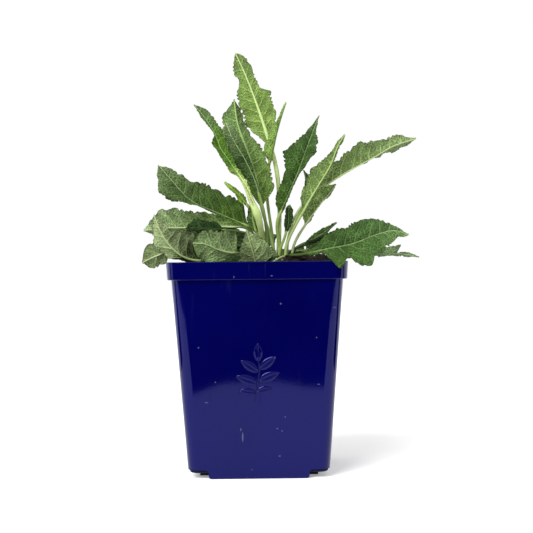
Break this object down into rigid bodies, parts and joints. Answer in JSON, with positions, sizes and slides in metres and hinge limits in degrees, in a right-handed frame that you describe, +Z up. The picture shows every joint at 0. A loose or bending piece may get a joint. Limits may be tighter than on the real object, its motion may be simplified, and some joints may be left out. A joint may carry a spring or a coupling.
{
  "type": "potted perennial salvia",
  "caption": "Leafy perennial sage in a square nursery pot: a clump of long toothed leaves on pale stalks above dark potting mix.",
  "frame": {"origin": "middle of the flat foot that the pot stands on", "axes": "+Z up along the plant, -Y the front of the view, +X to its right"},
  "size_m": [0.2284, 0.1694, 0.3406],
  "materials": {
    "pot": "glossy dark blue",
    "soil": "moist dark potting mix",
    "crown": "pale green, fibrous",
    "leaf_upper": "matt green, puckered",
    "leaf_under": "matt grey-green, raised veins"
  },
  "bodies": {
    "root": {"pot": "pot", "soil": "soil", "crown": "crown", "leaf_tallest": "leaf_under", "leaf_tall_edge_on": "leaf_under", "leaf_tall_centre": "leaf_under", "leaf_tall_front": "leaf_upper", "leaf_twisted": "leaf_upper", "leaf_left_large": "leaf_upper", "leaf_left_long": "leaf_under", "leaf_left_dark": "leaf_upper", "leaf_left_shaded": "leaf_upper", "leaf_left_pale": "leaf_under", "leaf_left_drooping": "leaf_under", "leaf_front_left": "leaf_under", "leaf_front": "leaf_under", "leaf_small_bright": "leaf_upper", "leaf_small_round": "leaf_under", "leaf_bud": "leaf_upper", "leaf_right_dark": "leaf_upper", "leaf_right_forked": "leaf_under", "leaf_right_long": "leaf_under", "leaf_right_short": "leaf_under", "leaf_right_behind": "leaf_upper", "leaf_small_folded": "leaf_upper", "leaf_right_narrow": "leaf_upper", "leaf_right_narrow_back": "leaf_upper", "leaf_right_low": "leaf_upper", "leaf_right_jagged": "leaf_upper", "leaf_back_left": "leaf_upper", "leaf_back": "leaf_upper", "leaf_back_right": "leaf_upper", "leaf_back_low_left": "leaf_upper", "leaf_back_low": "leaf_upper"}
  },
  "joints": []
}
